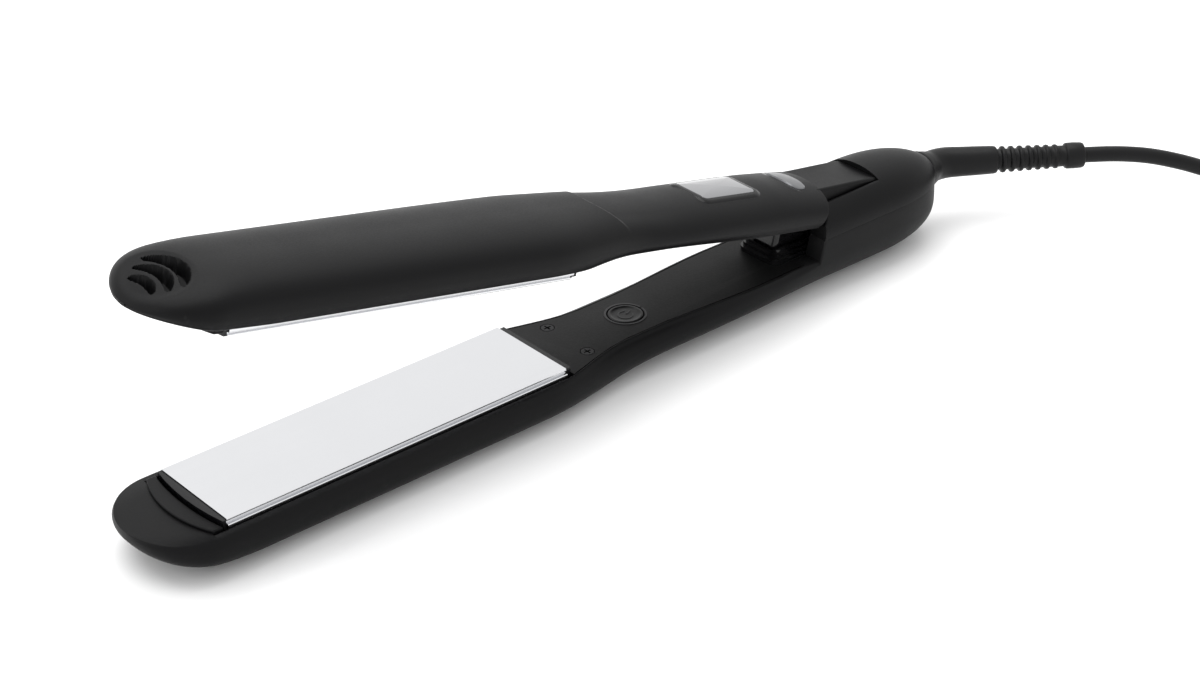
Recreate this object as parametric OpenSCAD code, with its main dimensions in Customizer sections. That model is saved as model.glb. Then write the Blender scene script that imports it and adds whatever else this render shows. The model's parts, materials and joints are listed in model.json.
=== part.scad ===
// Flat iron (hair straightener) with floating plates, a sprung hinge and a swivel cord.
// Each arm is drawn in its own frame: x runs back from the front edge of its plate, z = 0 is the
// face where the two plates meet, and negative z goes into the arm. The upper arm is the same
// frame mirrored and turned about the hinge pin. The finished part stands on z = 0.

/* [Plates] */
// Length of a heated plate
plate_l = 92; // [60:1:120]
// Width of a heated plate
plate_w = 25; // [15:0.5:45]
// How far a plate can sink into its arm
plate_travel = 0.8; // [0.4:0.1:1.5]

/* [Arms] */
// Width of an arm beside the plates
zone_w = 32.6; // [28:0.2:50]
// Width of the handle at the waist
waist_w = 25.6; // [20:0.2:34]
// Width of the hinge housing
grip_w = 24.6; // [20:0.2:34]
// Depth of the lower arm below the plate face
lower_depth = 12.4; // [10:0.1:20]
// Depth of the upper arm above the plate face
upper_depth = 13.2; // [10:0.1:20]
// Angle between the arms when open
open_angle = 12.2; // [4:0.1:20]

/* [Controls] */
// Distance of the power button behind the plate front
power_x = 121; // [114:0.5:140]
// Diameter of the power button
power_d = 8.6; // [6:0.1:11]
// Travel of the power button
power_travel = 0.6; // [0.3:0.1:1]
// Length of the display window
window_l = 19; // [12:0.5:22]
// Distance of the heat rocker behind the plate front
rocker_x = 171; // [164:0.5:172]

/* [Cord] */
// Diameter of the mains cord
cord_d = 4.2; // [3.5:0.1:7]

/* [Hidden] */
$fn = 48;
e = 0.01;

// where the parts stand
plate_front = -102.5;
stand = lower_depth;
hinge_x = 197.8;
hinge_z = 3;
swivel_z = 2.5;
seam_z = 3.5;
face_z = -2;
tip_x = -17;
housing_end = 222;
cheek_x = 174.6;
cheek_lean = 0.23;
cheek_knee = [176.2, 7];
cheek_top = [181.5, 11.8];
neck_x = 173.5;
neck_lean = 0.42;

// hinge
barrel_r = 7.3;
barrel_half = 6.4;
cheek_half = 7;
pin_r = 1.75;
pin_half = 10.3;
running = 0.05;

// floating plate group
half_plate = plate_w / 2;
cap_l = 2.2;
rear_cap_l = 1.7;
tray_half = 12;
tray_top = -3.6;
tray_floor = -7.2;
pocket_half = 13.2;
handle_room = 9.2;
room_floor = -9;
// depth of the flats that the lower arm rests on
foot = 0.12;

// handle
cover_t = 1.6;
cover_rim = 1;
cover_front = 93.9;
cover_end = 170;
tongue_end = 184.4;
slot_x = 173.5;
slot_l = 16.2;
slot_w = 9.8;
screw_x = 102.9;
screw_y = 7.2;

// colours
black = [0.09, 0.09, 0.1];
gloss = [0.05, 0.05, 0.055];
silver = [0.82, 0.83, 0.85];
steel = [0.6, 0.61, 0.63];
grey = [0.5, 0.51, 0.54];
amber = [0.72, 0.5, 0.22];
green = [0.12, 0.33, 0.2];
copper = [0.7, 0.4, 0.25];
rubber = [0.07, 0.07, 0.075];

// cord route in the part's own frame: out of the relief, down to the surface and to the hank
relief_bend = 34;
lift = 0.8;
cord_r = cord_d / 2;
route = [
    [159.6, -21.6, 14.9],
    [167, -26.4, 14.6],
    [175, -31.2, 13.2],
    [183, -36.4, 10.6],
    [191, -41.8, 7.2],
    [199, -47, 4.6],
    [208, -51.8, 3.2],
    [218, -55.2, 2.9],
    [229, -56.8, 2.9],
    [240, -57, 2.9]
];

// hank of the cord that is put away
hank_x0 = 240;
hank_x1 = 306;
hank_y = -36;
hank_rings = 3;
hank_layers = 2;
hank_fold = 3 * cord_d;
hank_out = hank_fold + (hank_rings - 1) * cord_d + cord_r;
hank_top = lift + hank_layers * cord_d;
tie_x = 256;
tie_w = 9;
plug_x = 277;
plug_l = 30;
plug_w = 23;
plug_h = 15;
plug_z = hank_top + plug_h / 2;

// ---------- shared functions ----------

function ease(t) = let(u = max(0, min(1, t))) u * u * (3 - 2 * u);
function blend(x, a, b, from, to) = from + (to - from) * ease((x - a) / (b - a));
function round_off(t, p) = t <= 0 ? 1 : pow(max(0, 1 - pow(min(t, 1), p)), 1 / p);

// Half width of the casing, of its flat inner face, and depth of its crown, all at x.
function arm_half(x) =
    round_off((-3 - x) / (-3 - tip_x), 2) * round_off((x - 200) / 24, 2.3)
    * (x < 116 ? blend(x, 84, 116, zone_w, waist_w) : blend(x, 130, 180, waist_w, grip_w)) / 2;
function face_half(x) =
    arm_half(x) * (x < 118 ? blend(x, 88, 113, 0.93, 0.76) : blend(x, 122, 158, 0.76, 0.93));
function rim_half(x) = arm_half(x) - 0.25;
function squareness(x) = blend(x, 98, 125, 2.6, 2.1);
function nose_depth(x) = round_off((9 - x) / (9.4 - tip_x), 2.3);
function tail_depth(x) = round_off((x - 200) / 27, 2.2);
function hood_height(x) = 8.9 * round_off((x - 196) / 29, 2.2);
function lower_crown(x) =
    blend(x, 96, 125, lower_depth, lower_depth - 1) + blend(x, 150, 190, 0, 1);
function upper_crown(x) =
    x < 105 ? blend(x, 60, 105, upper_depth, upper_depth - 0.4)
    : blend(x, 105, 132, upper_depth - 0.75, upper_depth - 1.6) + blend(x, 160, 180, 0, -1.2);

// One ring of the casing at x, from the near rim down around the crown to the far rim.
rim_steps = 3;
arc_steps = 14;
function ring(x, w, f, top, depth) = let(mid = top - 0.34 * (depth + top)) concat(
    [for (k = [0:rim_steps - 1]) let(u = 1 - k / rim_steps)
        [x, -(w - (w - f) * u * u), mid + (top - mid) * u]],
    [for (k = [0:arc_steps]) let(a = 180 * k / arc_steps)
        [x, -w * sign(cos(a)) * pow(abs(cos(a)), 2 / squareness(x)),
            mid - (depth + mid) * pow(sin(a), 2 / squareness(x))]],
    [for (k = [rim_steps - 1:-1:0]) let(u = 1 - k / rim_steps)
        [x, w - (w - f) * u * u, mid + (top - mid) * u]]
);

// A closed solid through rings that all have the same number of points.
module loft(rings) {
    n = len(rings[0]);
    m = len(rings);
    points = [for (r = rings) each r];
    sides = [for (i = [0:m - 2]) for (j = [0:n - 1]) let(k = (j + 1) % n) each [
        [i * n + j, i * n + k, (i + 1) * n + k],
        [i * n + j, (i + 1) * n + k, (i + 1) * n + j]
    ]];
    front = [[for (j = [n - 1:-1:0]) j]];
    back = [[for (j = [0:n - 1]) (m - 1) * n + j]];
    polyhedron(points, concat(sides, front, back), convexity = 6);
}

module arm_frame() {
    translate([plate_front, 0, stand])
        children();
}

module upper_frame(angle = open_angle) {
    arm_frame()
        translate([hinge_x, 0, hinge_z])
            rotate([0, angle, 0])
                translate([-hinge_x, 0, -hinge_z])
                    mirror([0, 0, 1])
                        children();
}

// A prism along x with the given outline in y and z.
module along_x(x0, x1, outline) {
    translate([x0, 0, 0])
        rotate([90, 0, 90])
            linear_extrude(x1 - x0)
                polygon(outline);
}

module rod_y(r, y0, y1) {
    translate([0, y0, 0])
        rotate([-90, 0, 0])
            cylinder(r = r, h = y1 - y0);
}

module rounded_plate(l, w, h, r) {
    linear_extrude(h)
        rounded_outline(l, w, r);
}

module rounded_outline(l, w, r) {
    square([l - 2 * r, w], center = true);
    square([l, w - 2 * r], center = true);
    for (sx = [-1, 1], sy = [-1, 1])
        translate([sx * (l / 2 - r), sy * (w / 2 - r)])
            circle(r);
}

module racetrack(x0, x1, y, r) {
    translate([x0, y - r])
        square([x1 - x0, 2 * r]);
    for (x = [x0, x1])
        translate([x, y])
            circle(r);
}

// ---------- casings ----------

nose_stations = [for (k = [9:-1:0]) (tip_x + 3) * sin(10 * k) - 3];
zone_stations = [2, 12, 84, 90, 96, 102, 108, 114, 120, 130, 145, 160];
rear_stations = [172, 180, 190, 200, 206, 210, 214, 217, 219, 220.5, housing_end];

function backwards(list) = [for (k = [len(list) - 1:-1:0]) list[k]];
function both_sides(half) = concat(half, [for (p = backwards(half)) if (p[1] > 0.01) [p[0], -p[1]]]);
function left_right(half) = concat(half, [for (p = backwards(half)) [-p[0], p[1]]]);
function flat(r) = [for (p = r) [p[1], p[2]]];

// An arm is what its plan, its side view and its cross sections have in common.
module arm_blank(plan, profile, sections) {
    intersection() {
        for (s = sections)
            along_x(s[0], s[1], flat(s[2]));
        translate([0, 0, -20])
            linear_extrude(30)
                polygon(both_sides([for (x = plan) [x, arm_half(x)]]));
        across(profile);
    }
}

// A prism across the arm with the given outline in x and z.
module across(outline) {
    rotate([90, 0, 0])
        translate([0, 0, -20])
            linear_extrude(40)
                polygon(outline);
}

function lower_line(x) =
    -face_z + (lower_crown(x) + face_z) * nose_depth(x) * tail_depth(x);
function upper_line(x) = -face_z + (upper_crown(x) + face_z) * nose_depth(x);

module lower_blank() {
    stations = concat(nose_stations, zone_stations, rear_stations);
    arm_blank(stations,
        concat(
            [
                [tip_x, face_z], [cheek_x + cheek_lean * face_z, face_z],
                [cheek_x + cheek_lean * seam_z, seam_z], [housing_end, seam_z]
            ],
            [for (x = backwards(stations)) [x, -lower_line(x)]]
        ),
        [
            [tip_x, 104, ring(80, zone_w / 2, 0.93 * zone_w / 2, face_z, lower_depth + foot)],
            [103.9, 118, ring(120, 14.7, 13.7, face_z, lower_depth - 0.2)],
            [117.9, 173, ring(130, 12.95, 12, face_z, lower_depth - 0.4)],
            [172.9, housing_end, ring(180, 12.35, 12.1, seam_z, lower_depth + foot)]
        ]);
}

module upper_blank() {
    stations = concat(nose_stations, zone_stations, [172, 180]);
    top = face_z - 12;
    arm_blank(stations,
        concat(
            [[tip_x, face_z], [neck_x, face_z], [neck_x - neck_lean * (top - face_z), top]],
            [for (x = backwards(stations)) if (x < 179) [x, -upper_line(x)]]
        ),
        [
            [tip_x, 104, ring(80, zone_w / 2, 0.93 * zone_w / 2, face_z, upper_depth)],
            [103.9, 118, ring(120, 14.7, 13.7, face_z, upper_depth - 0.7)],
            [117.9, 180, ring(130, 12.95, 12, face_z, upper_depth - 1)]
        ]);
}

// The hood over the hinge, on the same outline as the casing below it.
module housing_blank() {
    section = ring(180, arm_half(180), rim_half(180), 0, hood_height(180));
    intersection() {
        along_x(rear_stations[0], housing_end, [for (p = section) [p[1], seam_z - p[2]]]);
        translate([0, 0, seam_z])
            linear_extrude(12)
                polygon(both_sides([for (x = rear_stations) [x, arm_half(x) + e]]));
        across(concat(
            [[housing_end, seam_z], [cheek_x + cheek_lean * seam_z, seam_z], cheek_knee, cheek_top],
            [for (x = rear_stations) if (x > 185) [x, seam_z + hood_height(x)]]
        ));
    }
}

// Rooms for the floating plate group and for the boards, with a passage between the screws.
module inner_room(end) {
    half = [
        [-3.8, pocket_half], [cover_front, pocket_half], [cover_front, 4.6], [107, 4.6],
        [107, handle_room], [end, handle_room]
    ];
    translate([0, 0, room_floor])
        linear_extrude(6 - room_floor)
            polygon(both_sides(half));
}

module cover_outline(front, inset) {
    edge = concat([front], [for (x = [96:6:cover_end]) x], [cover_end]);
    polygon(both_sides([for (x = edge) [x, face_half(x) - cover_rim - inset]]));
}

module cover_rebate() {
    translate([0, 0, face_z - cover_t])
        linear_extrude(cover_t + 1)
            cover_outline(cover_front - 1, 0);
}

// The raised crescent between the tip and the plate.
module lip() {
    intersection() {
        translate([22.4, 0, face_z - 0.4])
            cylinder(r = 29, h = 1.1, $fn = 96);
        translate([-8, -13, face_z - 1])
            cube([3.6, 26, 3]);
    }
}

module screw_bores() {
    for (s = [-1, 1])
        translate([screw_x, s * screw_y, -9])
            cylinder(r = 0.8, h = 9 + face_z);
}

// Turned room for the swivel that carries the cord.
module swivel_room() {
    translate([203, 0, swivel_z])
        rotate([0, 90, 0])
            rotate_extrude()
                polygon([[0, 0], [3.4, 0], [3.4, 7], [5.2, 7], [5.2, 14], [3.4, 14], [3.4, 24], [0, 24]]);
}

module pin_bore() {
    translate([hinge_x, 0, hinge_z])
        rod_y(pin_r, -pin_half - 0.1, pin_half + 0.1);
}

module lower_casing() {
    color(black)
        arm_frame()
            difference() {
                lower_shell();
                screw_bores();
                pin_bore();
                swivel_room();
                spring_leg_hole();
            }
}

module lower_shell() {
    difference() {
        union() {
            lower_blank();
            lip();
        }
        inner_room(cover_end - 1);
        cover_rebate();
        // room between the cheeks for the knuckle, the shroud and the wires
        translate([cover_end - 4, -cheek_half, room_floor + 0.4])
            cube([208 - cover_end + 4, 2 * cheek_half, 16]);
    }
}

module housing_cover() {
    color(black)
        arm_frame()
            difference() {
                housing_blank();
                // notch for the knuckle, and the round room behind it
                translate([160, -cheek_half, seam_z - 1])
                    cube([hinge_x + 1 - 160, 2 * cheek_half, 20]);
                translate([hinge_x, 0, hinge_z])
                    rod_y(barrel_r + 1.1, -cheek_half, cheek_half);
                swivel_room();
                pin_bore();
            }
}

module screw_counterbores() {
    for (s = [-1, 1])
        translate([screw_x, s * screw_y, 0]) {
            translate([0, 0, face_z - 1])
                cylinder(r = 1.75, h = 3);
            translate([0, 0, -6])
                cylinder(r = 0.9, h = 6);
        }
}

module lower_cover() {
    color(black)
        arm_frame()
            difference() {
                translate([0, 0, face_z - cover_t + 0.02])
                    linear_extrude(cover_t - 0.02) {
                        cover_outline(cover_front + 0.1, 0.08);
                        translate([cover_end - 2, -cheek_half + 0.1])
                            square([tongue_end - cover_end + 2, 2 * cheek_half - 0.2]);
                    }
                translate([power_x, 0, -5])
                    cylinder(r = power_d / 2 + 0.5, h = 6);
                screw_counterbores();
                translate([slot_x, 0, -6])
                    rounded_plate(slot_l, slot_w, 8, 1.5);
            }
}

module spring_collar() {
    color(gloss)
        arm_frame()
            translate([slot_x, 0, face_z])
                difference() {
                    for (k = [0:2])
                        translate([0, 0, 1.2 * k - (k > 0 ? e : 0)])
                            rounded_plate(19.6 - k, 13.4 - k, 1.2, 2.4 - 0.2 * k);
                    translate([0, 0, -1])
                        rounded_plate(slot_l, slot_w, 8, 1.5);
                }
}

// ---------- floating plates ----------

module plate_body() {
    // half of the extruded section, from the top down the grooved side to the underside
    side = [
        [-0.2, 0], [0, -0.2], [0, -0.5], [-0.35, -0.75], [-0.35, -1.1], [0.4, -1.2],
        [0.5, -1.4], [0.5, -3.2], [-0.4, -3.2], [-0.9, -1.8]
    ];
    along_x(0, plate_l, left_right([for (p = side) [half_plate + p[0], p[1]]]));
}

module tray_body() {
    difference() {
        union() {
            translate([-cap_l, -tray_half, tray_floor])
                cube([plate_l + cap_l + rear_cap_l, 2 * tray_half, tray_top - tray_floor]);
            // end caps that close the ends of the plate
            intersection() {
                translate([-cap_l, -half_plate + 0.1, tray_floor])
                    cube([cap_l - 0.1, plate_w - 0.2, -0.3 - tray_floor]);
                translate([58, 0, tray_floor])
                    cylinder(r = 60.2, h = 10, $fn = 160);
            }
            translate([plate_l + 0.1, -half_plate + 0.5, tray_floor])
                cube([rear_cap_l - 0.1, plate_w - 1, -0.4 - tray_floor]);
        }
        // trough for the heater
        translate([8, -8, tray_floor + 1.2])
            cube([plate_l - 16, 16, 5]);
    }
}

module heater_body() {
    translate([12, -7, -4.2])
        cube([plate_l - 24, 14, 2.3]);
    for (s = [-1, 1])
        translate([plate_l - 12, s * 4, -3.5])
            rotate([0, 90, 0])
                cylinder(r = 0.5, h = 3.5, $fn = 24);
}

module mica_body() {
    translate([10, -7.6, -4.7])
        cube([plate_l - 20, 15.2, 0.4]);
}

module sensor_body() {
    translate([plate_l / 2, 0, -5.36])
        rotate([0, 90, 0])
            cylinder(r = 0.6, h = 5);
}

module cushion_bodies() {
    for (x = [14, plate_l - 14], s = [-1, 1])
        translate([x, s * 7, room_floor])
            cylinder(r = 2.4, h = tray_floor - room_floor - plate_travel - 0.05);
}

module lower_plate() {
    color(silver)
        arm_frame()
            plate_body();
}

module lower_tray() {
    color(black)
        arm_frame()
            tray_body();
}

module lower_heater() {
    color(amber)
        arm_frame()
            heater_body();
}

module lower_mica() {
    color(amber)
        arm_frame()
            mica_body();
}

module lower_sensor() {
    color(steel)
        arm_frame()
            sensor_body();
}

module lower_cushions() {
    color(copper)
        arm_frame()
            cushion_bodies();
}

module upper_plate() {
    color(silver)
        upper_frame()
            plate_body();
}

module upper_tray() {
    color(black)
        upper_frame()
            tray_body();
}

module upper_heater() {
    color(amber)
        upper_frame()
            heater_body();
}

module upper_mica() {
    color(amber)
        upper_frame()
            mica_body();
}

module upper_sensor() {
    color(steel)
        upper_frame()
            sensor_body();
}

module upper_cushions() {
    color(copper)
        upper_frame()
            cushion_bodies();
}

// ---------- screws, button and boards ----------

module screw_body() {
    difference() {
        union() {
            cylinder(r = 1.55, h = 1);
            translate([0, 0, -4.6])
                cylinder(r = 0.8, h = 4.6 + e);
        }
        for (a = [0, 90])
            rotate([0, 0, a])
                translate([-1, -0.2, 0.5])
                    cube([2, 0.4, 1]);
    }
}

module cover_screw_pair() {
    for (s = [-1, 1])
        translate([screw_x, s * screw_y, face_z - cover_t + 0.6])
            screw_body();
}

module lower_cover_screws() {
    color(steel)
        arm_frame()
            cover_screw_pair();
}

module upper_cover_screws() {
    color(steel)
        upper_frame()
            cover_screw_pair();
}

button_foot = -4.2;

module power_button() {
    color(black)
        arm_frame()
            translate([power_x, 0, 0])
                difference() {
                    union() {
                        translate([0, 0, button_foot])
                            cylinder(r = power_d / 2, h = face_z + 0.15 - button_foot);
                        translate([0, 0, button_foot])
                            cylinder(r = power_d / 2 + 1, h = 0.55);
                    }
                    // ring and bar of a generic power mark
                    translate([0, 0, face_z - 0.1])
                        rotate([0, 0, -10])
                            rotate_extrude(angle = 290)
                                translate([2, 0])
                                    square([0.6, 1]);
                    translate([1, -1.7, face_z - 0.1])
                        rotate([0, 0, -45])
                            translate([-0.3, -1, 0])
                                cube([0.6, 2.4, 1]);
                }
}

module main_board() {
    color(green)
        arm_frame()
            difference() {
                translate([108.5, -6.4, -7.4])
                    cube([54, 12.8, 1.4]);
                for (x = [111, 160])
                    translate([x, 0, -9])
                        cylinder(r = 1, h = 4);
            }
}

module board_parts() {
    color(grey)
        arm_frame() {
            // push switch under the power button
            translate([power_x - 3, -3, -6])
                cube([6, 6, 1]);
            translate([power_x, 0, -5 - e])
                cylinder(r = 1.6, h = e + 5 + button_foot - power_travel - 0.05);
            // supply capacitor, fuse and triac
            translate([134, -4.6, -6])
                cube([9, 6, 2.2]);
            translate([146, 1.5, -6])
                cube([8, 3.6, 2]);
            translate([130, 2.6, -6])
                cube([7, 3, 1.8]);
        }
}

// ---------- hinge ----------

module hinge_pin() {
    color(steel)
        arm_frame()
            translate([hinge_x, 0, hinge_z])
                rod_y(pin_r, -pin_half, pin_half);
}

module hinge_washers() {
    color(steel)
        arm_frame()
            translate([hinge_x, 0, hinge_z])
                for (y = [-cheek_half + 0.05, cheek_half - 0.45])
                    difference() {
                        rod_y(3.2, y, y + 0.4);
                        rod_y(pin_r + 0.05, y - 1, y + 2);
                    }
}

// Torsion spring in a recess of the knuckle, drawn as wound up with the arms closed.
spring_r = 4.2;
spring_wire = 0.34;
spring_steps = 36;
spring_coil = [for (k = [0:spring_steps]) let(a = 900 * k / spring_steps)
    [spring_r * sin(a), 3.4 + 1.9 * k / spring_steps, spring_r * cos(a)]];
spring_leg = [[-0.7, 5.6, -spring_r], [-1, 6.2, -spring_r], [-1.05, 7, -spring_r], [-1.05, 8.3, -spring_r]];

module spring_leg_hole() {
    translate([hinge_x - 1.05, 0, hinge_z - spring_r])
        rod_y(spring_wire + 0.2, 6, 8.6);
}

module arm_spring() {
    color(steel)
        arm_frame()
            translate([hinge_x, 0, hinge_z])
                tube(concat(spring_coil, spring_leg), spring_wire, 6, [0.3, 0.9, 0.3]);
}

// ---------- upper arm ----------

module upper_shell() {
    difference() {
        union() {
            upper_blank();
            lip();
        }
        inner_room(cover_end - 3);
        nose_room();
        cover_rebate();
        vents();
        window_cut();
        rocker_cut();
        // slot for the tongue of the knuckle
        translate([160, -tongue_half - 0.05, -9.5])
            cube([30, 2 * tongue_half + 0.1, 5.6]);
    }
}

// The tongue and knuckle that carry the upper arm on the hinge pin.
tongue_half = 5.6;
tongue_x = 161;

module hinge_knuckle() {
    color(black)
        upper_frame()
            difference() {
                union() {
                    translate([tongue_x, -tongue_half, -9.4])
                        cube([hinge_x - tongue_x, 2 * tongue_half, 5.4]);
                    translate([178.4, -barrel_half, -10.1])
                        cube([hinge_x - 178.4, 2 * barrel_half, 6.4]);
                    translate([hinge_x, 0, -hinge_z])
                        rod_y(barrel_r, -barrel_half, barrel_half);
                }
                // channel for the wires
                translate([tongue_x - 1, -4, -8.4])
                    cube([188 - tongue_x, 8, 3.2]);
                // recess for the hinge spring
                translate([hinge_x, 0, -hinge_z])
                    difference() {
                        rod_y(5.4, 2.6, 9);
                        rod_y(2.9, 2, 10);
                    }
                translate([hinge_x, 0, -hinge_z])
                    rod_y(pin_r + running, -barrel_half - 1, barrel_half + 1);
            }
}

// Hollow of the tip under the vents.
module nose_room() {
    translate([-12, -7.6, -7.4])
        cube([9, 15.2, 4]);
}

// Three crescent openings at the tip.
vent_widths = [7.6, 11.6, 14];
vent_r = 13.4;

module vents() {
    for (k = [0:2])
        translate([-11.4 + 3.5 * k, 0, -20])
            linear_extrude(13)
                intersection() {
                    difference() {
                        translate([-vent_r, 0])
                            circle(r = vent_r, $fn = 64);
                        translate([-vent_r - 2.5, 0])
                            circle(r = vent_r, $fn = 64);
                    }
                    square([30, vent_widths[k]], center = true);
                }
}

// The display window: where it starts, its half width, the floor it lies on and its rail.
window_x = 137;
window_half = 6;
window_floor = -10.2;
window_rail = 1.5;

module window_cut() {
    translate([window_x, -window_half, -15])
        cube([window_l, 2 * window_half, 15 + window_floor]);
    translate([window_x + window_rail, -window_half + window_rail, -11])
        cube([window_l - 2 * window_rail, 2 * (window_half - window_rail), 3]);
}

module rocker_cut() {
    translate([rocker_x, 0, -15])
        racetrack_y(4.6, 2.5, 15 - 9.9);
}

module racetrack_y(half, r, h) {
    linear_extrude(h) {
        square([2 * r, 2 * half], center = true);
        for (s = [-1, 1])
            translate([0, s * half])
                circle(r);
    }
}

module upper_casing() {
    color(black)
        upper_frame()
            difference() {
                upper_shell();
                screw_bores();
            }
}

module upper_cover() {
    color(black)
        upper_frame()
            difference() {
                translate([0, 0, face_z - cover_t + 0.02])
                    linear_extrude(cover_t - 0.02)
                        cover_outline(cover_front + 0.1, 0.08);
                screw_counterbores();
            }
}

// The skirt below the neck that dips into the collar.
module spring_shroud() {
    color(gloss)
        upper_frame()
            translate([slot_x - 0.3, 0, face_z])
                difference() {
                    union() {
                        rounded_plate(12.6, 8.4, 7.5, 1.2);
                        translate([1.2, -4.2, -1.9])
                            cube([3.9, 8.4, 1.9 + e]);
                    }
                    translate([0, 0, 1.4])
                        rounded_plate(9.8, 5.6, 8, 0.8);
                }
}

module display_window() {
    color(grey)
        upper_frame()
            translate([window_x + 0.1, -window_half + 0.1, window_floor - 1])
                cube([window_l - 0.2, 2 * window_half - 0.2, 0.9]);
}

module display_frame() {
    color(gloss)
        upper_frame()
            translate([window_x + 0.1, -window_half + 0.1, window_floor - 1.4])
                difference() {
                    cube([window_l - 0.2, 2 * window_half - 0.2, 0.4]);
                    translate([window_rail, window_rail, -1])
                        cube([window_l - 2 * window_rail - 0.2, 2 * (window_half - window_rail) - 0.2, 3]);
                }
}

module display_board() {
    color(green)
        upper_frame()
            translate([120, -6.2, -8.2])
                cube([38, 12.4, 1.2]);
}

module heat_rocker() {
    color(grey)
        upper_frame()
            translate([rocker_x, 0, -11.3]) {
                racetrack_y(4.2, 2.1, 1);
                // pivot rib under the middle
                translate([-2, 0, 1])
                    rotate([0, 90, 0])
                        cylinder(r = 0.35, h = 4);
            }
}

// ---------- cord ----------

function unit(v) = v / norm(v);
function cross_of(a, b) = [
    a[1] * b[2] - a[2] * b[1], a[2] * b[0] - a[0] * b[2], a[0] * b[1] - a[1] * b[0]
];
function heading(p, i) =
    unit(p[min(i + 1, len(p) - 1)] - p[max(i - 1, 0)]);

// A round tube along points, with rings square to the route.
module tube(points, r, sides, up = [0.11, 0.23, 0.97]) {
    loft([for (i = [0:len(points) - 1])
        let(
            t = heading(points, i),
            side = unit(cross_of(t, up)),
            over = cross_of(side, t)
        )
        [for (k = [0:sides - 1]) let(a = 360 * k / sides)
            points[i] + r * cos(a) * side + r * sin(a) * over]]);
}

// Points of a smooth curve through the route, with a few steps between each pair.
function between(a, b, c, d, t) =
    0.5 * ((2 * b) + (c - a) * t + (2 * a - 5 * b + 4 * c - d) * t * t
        + (3 * b - a - 3 * c + d) * t * t * t);
function smooth(p, steps) = [
    for (i = [0:len(p) - 2]) for (s = [0:steps - 1])
        between(p[max(i - 1, 0)], p[i], p[i + 1], p[min(i + 2, len(p) - 1)], s / steps),
    p[len(p) - 1]
];

module power_cord() {
    color(rubber)
        tube(smooth(route, 2), cord_r, 10);
}

module cord_swivel() {
    color(black)
        arm_frame()
            translate([0, 0, swivel_z]) {
                translate([203.4, 0, 0])
                    rotate([0, 90, 0])
                        rotate_extrude()
                            polygon([
                                [1.6, 2.4], [3.1, 2.4], [3.1, 6.9], [4.9, 6.9], [4.9, 13.3], [3.1, 13.3],
                                [3.1, 18.6], [1.6, 18.6]
                            ]);
            }
}

// Strain relief: its axis runs straight, bends sideways and runs straight again.
relief_start = housing_end + 0.3;
relief_turn = 4.8;
relief_turn_r = 10;
relief_end = 46.1;
relief_sides = 16;
relief_arc = relief_turn_r * relief_bend * PI / 180;
rib_from = 23.7;
rib_pitch = 2.35;
step = 0.05;

// Distance along the axis and radius: stub, flare, body, ribs and end collar.
relief_rows = concat(
    [[-7.3, 1.6], [-step, 1.6], [0, 5.4], [2.4, 4.6]],
    [for (k = [0:4]) [relief_turn + relief_arc * k / 4, 4.15 - 0.02 * k]],
    [[16, 3.85], [22.8, 3.6], [22.8 + step, 2.7]],
    [for (k = [0:6]) let(a = rib_from + rib_pitch * k, r = 3.5 - 0.05 * k)
        each [[a, 2.7], [a + step, r], [a + 1.3, r], [a + 1.3 + step, 2.7]]],
    [[41, 2.7], [41 + step, 3.4], [relief_end, 3.4]]
);

function relief_heading(s) = relief_bend * max(0, min(1, (s - relief_turn) / relief_arc));
function relief_place(s) =
    let(a = relief_heading(s), rest = max(0, s - relief_turn - relief_arc))
    s < relief_turn ? [s, 0, 0]
    : [
        relief_turn + relief_turn_r * sin(a) + rest * cos(a),
        -relief_turn_r * (1 - cos(a)) - rest * sin(a),
        0
    ];
function relief_ring(s, r) = let(c = relief_place(s), a = relief_heading(s)) [
    for (k = [0:relief_sides - 1]) let(u = 360 * k / relief_sides)
        c + r * [-sin(a) * cos(u), -cos(a) * cos(u), sin(u)]
];

module strain_relief() {
    color(rubber)
        arm_frame()
            translate([relief_start, 0, swivel_z])
                loft([for (p = relief_rows) relief_ring(p[0], p[1])]);
}

module cord_hank() {
    color(rubber) {
        translate([0, 0, lift])
            linear_extrude(hank_layers * cord_d)
                racetrack(hank_x0, hank_x1, hank_y, hank_out);
        translate([0, 0, hank_top - e])
            linear_extrude(cord_d)
                difference() {
                    racetrack(hank_x0, hank_x1, hank_y, hank_fold + 1.5 * cord_d);
                    racetrack(hank_x0, hank_x1, hank_y, hank_fold + 0.5 * cord_d);
                }
    }
}

// A strap around the hank.
module cord_tie() {
    side = [[hank_out, lift], [hank_out, hank_top], [hank_fold + 1.5 * cord_d, hank_top + cord_d]];
    grown = [[hank_out + lift, 0], [hank_out + lift, hank_top + 0.3],
        [hank_fold + 1.5 * cord_d + 0.3, hank_top + cord_d + lift]];
    color(black)
        translate([0, hank_y, 0])
            difference() {
                along_x(tie_x, tie_x + tie_w, left_right(grown));
                along_x(tie_x - 1, tie_x + tie_w + 1, left_right(side));
            }
}

module plug_body() {
    color(rubber)
        translate([plug_x, hank_y, plug_z])
            rotate([90, 0, 90]) {
                linear_extrude(plug_l)
                    rounded_outline(plug_w, plug_h, 5);
            }
}

module plug_pins() {
    color(steel)
        for (s = [-1, 1])
            translate([plug_x + plug_l, hank_y + s * 6.35 - 0.75, plug_z - 3.15])
                cube([17.5, 1.5, 6.3]);
}

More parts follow.
